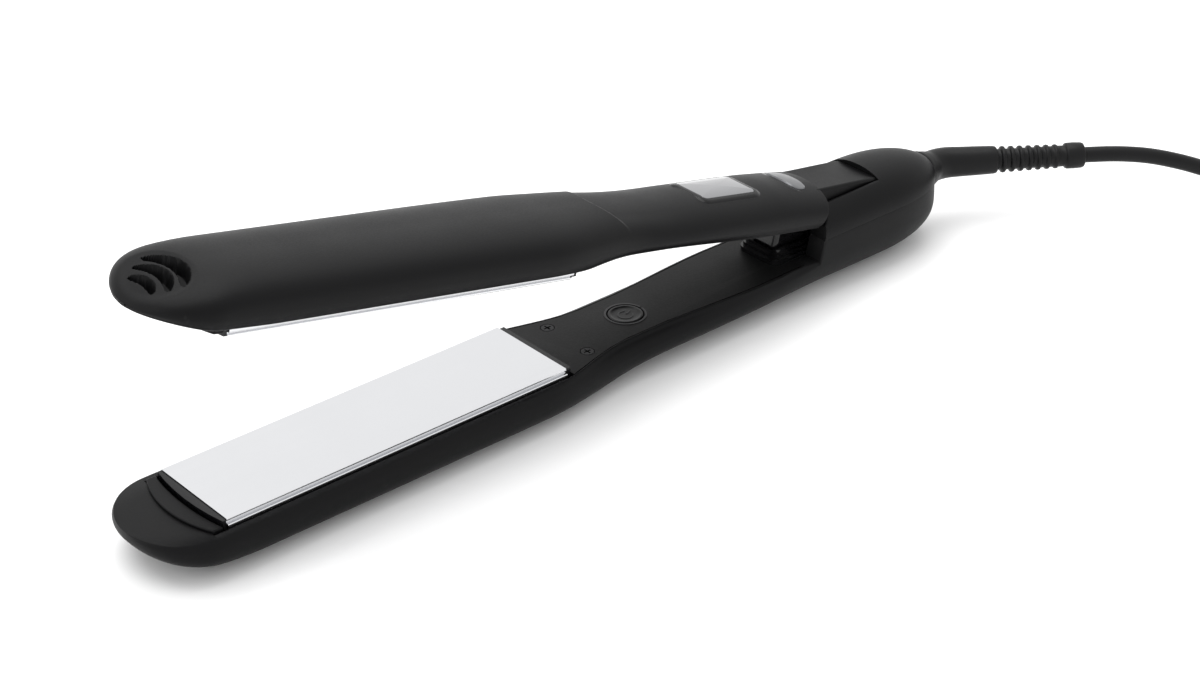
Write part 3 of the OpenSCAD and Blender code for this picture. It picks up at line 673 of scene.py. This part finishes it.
nose_angles = (88.5, 86, 83, 80, 76, 72, 68, 64, 60, 55, 50, 44, 38, 32, 26, 20, 14, 8, 4)
nose_x = [NOSE_START + (TIP_X - NOSE_START) * math.sin(math.radians(a)) for a in nose_angles]
jumps = [POCKET_FRONT, POCKET_END, HINGE_ROOM_X, COVER_END, HINGE_ROOM_END]
lower_x = nose_x + spaced(-2, 82, 3) + spaced(83, 172, 1) + spaced(172.5, 174, 0.5)
lower_x += [RISE_X, 174.5, 174.8, 175.1, 175.4] + spaced(176, 206.5, 1.2) + spaced(207.5, 219, 0.8)
lower_x += [219.6, 220.2, 220.7, 221.2, 221.6, 221.9, HOUSING_END]
lower_x = sorted(set(lower_x + jumps + [j - STEP_GAP for j in jumps]))
make_object("lower_shell", [loft([lower_ring(x) for x in lower_x])], LOWER, "base",
            shell_black, ["lower_casing"])


def lip_outline():
    """A crescent between the tip and the front of the plate, from two arcs."""
    half, steps = 12.9, 40
    front_middle, front_r, rear_middle, rear_r = 22.4, 29, 58, 60.6
    ys = [-half + 2 * half * k / steps for k in range(steps + 1)]
    front = [(front_middle - math.sqrt(front_r * front_r - y * y), y) for y in ys]
    behind = [(rear_middle - math.sqrt(rear_r * rear_r - y * y), y) for y in reversed(ys)]
    return front + behind


LIP_ROOT, LIP_TOP = FACE_Z - 1.6, FACE_Z + 0.75
for place, body, name in ((LOWER, "base", "lower_lip"), (UPPER, "upper_arm", "upper_lip")):
    lip = make_object(name, [prism(lip_outline(), LIP_ROOT, LIP_TOP)], place, body,
                      shell_black)
    soften(lip, 0.3)

# cheeks and hood of the hinge housing
CHEEK_FOOT_X, CHEEK_STEP_X, CHEEK_TOP_X = 175.4, 176.2, 181.5
CHEEK_STEP_Z, CHEEK_TOP_Z = 7, 11.8
NO_LIMIT = 30


def hood_line(x, top):
    """The hood's section from the seam up over the crown, with the crown cut at top."""
    height, half = hood_height(x), arm_half(x) - 0.02
    power, made = 2.15, []
    for k in range(61):
        a = math.radians(90 * k / 60)
        y, z = half * math.cos(a) ** (2 / power), SEAM_Z + height * math.sin(a) ** (2 / power)
        made.append((y, min(z, top)))
    return made


def cheek_limit(x):
    """The cheeks rise steeply from the seam, then less so, up to the hood's own height."""
    if x < CHEEK_STEP_X:
        share = (x - CHEEK_FOOT_X) / (CHEEK_STEP_X - CHEEK_FOOT_X)
        return SEAM_Z + (CHEEK_STEP_Z - SEAM_Z) * share
    if x < CHEEK_TOP_X:
        share = (x - CHEEK_STEP_X) / (CHEEK_TOP_X - CHEEK_STEP_X)
        return CHEEK_STEP_Z + (CHEEK_TOP_Z - CHEEK_STEP_Z) * share
    return NO_LIMIT


def cheek_ring(x, side):
    outer = hood_line(x, cheek_limit(x))
    outer = [p for p in outer if p[0] > CHEEK_HALF + 0.5]
    top = outer[-1][1]
    outer = resample(outer + [(CHEEK_HALF + 0.35, top)], 34)
    edge = min(0.4, 0.4 * (top - SEAM_Z))
    inner = [(CHEEK_HALF + 0.1, top - 0.25 * edge), (CHEEK_HALF, top - edge), (CHEEK_HALF, SEAM_Z)]
    return [(x, side * y, z) for y, z in outer + inner]


cheek_x = [175.5, 175.7, 175.9, 176.05, CHEEK_STEP_X] + spaced(176.6, 181.4, 0.4)
cheek_x += [CHEEK_TOP_X, 182, 183] + spaced(184, 199.2, 1.2)
hood_parts = [loft([cheek_ring(x, side) for x in cheek_x]) for side in (-1, 1)]


def hood_ring(x):
    half = resample(hood_line(x, NO_LIMIT), 46)
    whole = half + [(-y, z) for y, z in reversed(half[:-1])]
    return [(x, y, z) for y, z in whole]


hood_x = [198.75, 198.85, 199] + spaced(199.6, 216, 0.8) + spaced(216.5, 221, 0.5)
hood_x += [221.4, 221.7, 221.9, HOUSING_END]
hood_parts.append(loft([hood_ring(x) for x in hood_x]))
make_object("hinge_hood", hood_parts, LOWER, "base", shell_black,
            ["housing_cover"])

# ---------- upper arm ----------

DISH_X, DISH_HALF_X, DISH_HALF_Y, DISH_DEPTH = -9.6, 6.4, 9.2, 0.7
VENT_MIDDLES = (-12.6, -9.2, -5.6)
VENT_HALVES = (4.4, 6.6, 7.7)
VENT_WIDTHS = (2.0, 2.7, 3.0)
VENT_CURVE, VENT_DEPTH = 0.05, 3.2
RIDGE_X, RIDGE_CURVE, RIDGE_DEPTH = 105, 0.02, 0.5


def vent_push(x, y):
    """How far the tip is sunk in a shallow dish, and the share of three deep openings in it."""
    r = math.hypot((x - DISH_X) / DISH_HALF_X, y / DISH_HALF_Y)
    dish = DISH_DEPTH * (1 - ease((r - 0.72) / 0.4))
    deep = 0.0
    for middle, reach, opening in zip(VENT_MIDDLES, VENT_HALVES, VENT_WIDTHS):
        across = abs(x - (middle - VENT_CURVE * y * y + 0.5))
        width = opening / 2 * (max(0.0, 1 - (y / reach) ** 2)) ** 0.4
        if abs(y) < reach:
            deep = max(deep, 1 - ease((across - width + 0.18) / 0.3))
    return dish, deep


def ridge_step(x, y):
    """The handle starts a little lower behind a curved ridge."""
    line = RIDGE_X + RIDGE_CURVE * y * y
    beside = 1 - ease((abs(y) - 7) / 6)
    behind = 1 - ease((x - 112) / 22)
    return RIDGE_DEPTH * ease((x - line) / 0.7) * beside * behind


def upper_top(x):
    """The upper shell's rim is cut back a little beside the plate, and more towards the tip."""
    plate, front, tip = ease((98 - x) / 10), ease((12 - x) / 16), ease((-2 - x) / 14)
    return FACE_Z - 0.45 * plate - 0.4 * front - 1.5 * tip


def upper_ring(x):
    half, depth, top = arm_half(x), upper_depth(x), upper_top(x)
    mid = mid_height(depth, top)
    line = side_line(half, face_half(x), top, mid, depth, squareness(x), 100)
    made = []
    for _, y, z in closed_section(x, line, top, upper_room(x)):
        if z < mid - 0.2 * (depth + mid):
            z += ridge_step(x, y)
            if x < 0:
                dish, deep = vent_push(x, y)
                z = min(top - 0.6, z + dish)
                z = min(top - 1.0, z + VENT_DEPTH * deep) if deep > 0 else z
        made.append((x + neck_shift(x, z), y, z))
    return made


def neck_shift(x, z):
    """The rear edge leans back towards the crown."""
    return 0.42 * (FACE_Z - z) * ease((x - 163) / 10.5)


def upper_room(x):
    """As lower_room, for the upper arm, which has no hinge room."""
    if x < POCKET_FRONT:
        return None
    if x < POCKET_END:
        return POCKET_HALF, POCKET_FLOOR, POCKET_HALF - 1, POCKET_FLOOR
    if x < COVER_END:
        return face_half(x) - 1, COVER_LEDGE, CHEEK_HALF, COVER_LEDGE
    return None


upper_x = nose_x[:3] + spaced(-16.6, -1.6, 0.16) + spaced(-1, 82, 3) + spaced(83, 103, 1)
upper_x += spaced(103.4, 112, 0.3) + spaced(113, 173.5, 1)
jumps = [POCKET_FRONT, POCKET_END, COVER_END]
upper_x = sorted(set(upper_x + jumps + [j - STEP_GAP for j in jumps]))
make_object("upper_shell", [loft([upper_ring(x) for x in upper_x])], UPPER, "upper_arm",
            shell_black, ["upper_casing"])

# neck and knuckle that carry the arm on the hinge pin
BARREL_R, NECK_HALF = 8.0, 6.75
NECK_FACE = -3.9
knuckle_line = [(176, NECK_FACE), (172, -4.5), (172, -9.6)]
for x in spaced(174.5, 194, 2):
    knuckle_line.append((x, -mix(x, 172, 198, 10.05, HINGE_Z + BARREL_R)))
for k in range(25):
    a = math.radians(-92 + 200 * k / 24)
    knuckle_line.append((HINGE_X + BARREL_R * math.cos(a), -HINGE_Z + BARREL_R * math.sin(a)))
knuckle_line.append((186, NECK_FACE))
neck = make_object("neck", [prism(knuckle_line, -NECK_HALF, NECK_HALF, "xz")], UPPER, "upper_arm",
                   shell_black, ["hinge_knuckle"], sharp=30)
soften(neck, 0.7, 4, 50)


# display, its bezel, and the heat rocker
def window_outline(grow, radius):
    """The display's outline, grown on all sides."""
    mid, length = (WINDOW_FRONT + WINDOW_END) / 2, WINDOW_END - WINDOW_FRONT
    box = rounded_box(length + 2 * grow, 2 * (WINDOW_HALF + grow), radius)
    return [(mid + x, y) for x, y in box]


def rocker_outline(half_x, half_y):
    return [(ROCKER_X + x, y) for x, y in superellipse(half_x, half_y, 2.6, 64)]


bezel_pad = drape(window_outline(1.6, 2.6), lift=0.34, edge=1.1)
pane_pad = drape(window_outline(0, 1.1), lift=0.42, edge=0.35)
surround_pad = drape(rocker_outline(4.1, 7.3), lift=0.14, edge=0.5, rings=14)
rocker_pad = drape(rocker_outline(3.1, 6.1), lift=0.42, edge=0.5, rings=14, dome=0.12)
make_object("display_bezel", [bezel_pad], UPPER, "upper_arm", trim_black,
            ["display_frame"])
make_object("display_pane", [pane_pad], UPPER, "upper_arm", display_glass,
            ["display_window"])
make_object("rocker_surround", [surround_pad], UPPER, "upper_arm", trim_black)
make_object("rocker_cap", [rocker_pad], UPPER, "heat_rocker", rocker_silver,
            ["heat_rocker"])

# ---------- power button ----------

BUTTON_FOOT, BUTTON_TOP = -4.2, FACE_Z + 0.15
FLANGE_R, BUTTON_R = 5.3, 4.3
button_profile = [  # the rim, then a shallow dish towards the middle
    (0.4, BUTTON_FOOT), (FLANGE_R - 0.1, BUTTON_FOOT), (FLANGE_R, -4.1), (FLANGE_R, -3.75),
    (BUTTON_R, -3.65), (BUTTON_R, BUTTON_TOP - 0.3), (4.2, BUTTON_TOP - 0.08),
    (3.95, BUTTON_TOP), (3.7, BUTTON_TOP), (3.5, BUTTON_TOP - 0.1), (3.2, BUTTON_TOP - 0.25),
    (2.4, BUTTON_TOP - 0.33), (1.2, BUTTON_TOP - 0.37), (0.2, BUTTON_TOP - 0.38),
]
button_place = LOWER @ Matrix.Translation((POWER_X, 0, 0))
make_object("button_cap", [lathe(button_profile)], button_place, "power_button",
            button_black, ["power_button"])


def arc_bar(radius, start, end, width, low, high, steps=40):
    """A flat bar bent round a circle."""
    rings = []
    for k in range(steps + 1):
        a = math.radians(start + (end - start) * k / steps)
        rings.append([(r * math.cos(a), r * math.sin(a), z) for r, z in (
            (radius - width / 2, low), (radius + width / 2, low),
            (radius + width / 2, high), (radius - width / 2, high))])
    return loft(rings)


# the common on/off sign: an open ring with a bar in its gap, turned by MARK_TURN
MARK_TOP, MARK_THICK = BUTTON_TOP - 0.24, 0.3
MARK_R, MARK_WIDTH, MARK_TURN, MARK_GAP = 1.75, 0.38, -70, 70
BAR_FROM, BAR_TO = 0.5, 2.3
gap_at = 90 + MARK_TURN
mark_ring = arc_bar(MARK_R, gap_at + MARK_GAP / 2, gap_at + 360 - MARK_GAP / 2, MARK_WIDTH,
                    MARK_TOP - MARK_THICK, MARK_TOP)
turned, half = math.radians(MARK_TURN), MARK_WIDTH / 2
bar = [(x * math.cos(turned) - y * math.sin(turned), x * math.sin(turned) + y * math.cos(turned))
       for x, y in ((half, BAR_FROM), (-half, BAR_FROM), (-half, BAR_TO), (half, BAR_TO))]
make_object("power_mark", [mark_ring, prism(bar, MARK_TOP - MARK_THICK, MARK_TOP)], button_place,
            "power_button", mark_grey)
ring_bar = arc_bar(4.85, 0, 360, 0.5, FACE_Z - 0.5, FACE_Z + 0.12, 96)
make_object("button_ring", [ring_bar], button_place, "base", mark_grey)

# ---------- carried-over pieces ----------

def carry(material, *names, width=0.0):
    """Give CAD nodes a material and, with a width, softened edges."""
    for name in names:
        node = frame["nodes"][name]
        node.data.materials.clear()
        node.data.materials.append(material)
        if width:
            flat = node.modifiers.new("flat", "DECIMATE")
            flat.decimate_type = "DISSOLVE"
            flat.angle_limit = math.radians(2)
            soften(node, width, 2, 30)
        for polygon in node.data.polygons:
            polygon.use_smooth = True
        node.data.set_sharp_from_angle(angle=math.radians(30))


carry(panel_black, "lower_cover", "upper_cover", width=0.12)
carry(gloss_black, "spring_collar", "spring_shroud", width=0.25)
carry(plate_metal, "lower_plate", "upper_plate", width=0.06)
carry(tray_black, "lower_tray", "upper_tray", width=0.15)
carry(ceramic, "lower_heater", "upper_heater")
carry(mica, "lower_mica", "upper_mica")
carry(steel, "lower_sensor", "upper_sensor", "hinge_pin", "hinge_washers", "arm_spring")
carry(screw_black, "lower_cover_screws", "upper_cover_screws", width=0.05)
carry(silicone, "lower_cushions", "upper_cushions")
carry(board_green, "main_board", "display_board")
carry(component, "board_parts")
carry(shell_black, "cord_swivel")
carry(pin_metal, "plug_pins", width=0.3)
carry(tie_fabric, "cord_tie", width=0.2)

# ---------- studio ----------

FLOOR_HALF = 4  # metres
FLOOR_DROP = 0.05 * MM  # keeps the floor just clear of what lies on it

bm = bmesh.new()
bmesh.ops.create_grid(bm, x_segments=24, y_segments=24, size=FLOOR_HALF)
floor_mesh = bpy.data.meshes.new("floor")
bm.to_mesh(floor_mesh)
bm.free()
floor_mesh.materials.append(floor_white)
floor = bpy.data.objects.new("floor", floor_mesh)
bpy.context.scene.collection.objects.link(floor)
floor.location.z = -FLOOR_DROP


def softbox(name, place, aim, size, power):
    data = bpy.data.lights.new(name, "AREA")
    data.shape = "RECTANGLE"
    data.size, data.size_y = size
    data.energy = power
    light = bpy.data.objects.new(name, data)
    bpy.context.scene.collection.objects.link(light)
    light.location = place
    light.rotation_mode = "QUATERNION"
    light.rotation_quaternion = (Vector(place) - Vector(aim)).to_track_quat("Z", "Y")


softbox("overhead", (0.05, 0.4, 1.25), (0, 0, 0), (1.7, 1.1), 15)
softbox("left", (-1.5, 0.3, 0.8), (0, 0, 0.02), (0.7, 0.9), 3)

world = bpy.data.worlds.new("studio")
world.use_nodes = True
backdrop = world.node_tree.nodes["Background"]
backdrop.inputs["Color"].default_value = (1, 1, 1, 1)
backdrop.inputs["Strength"].default_value = 1.15
bpy.context.scene.world = world
bpy.context.scene.view_settings.view_transform = "Standard"
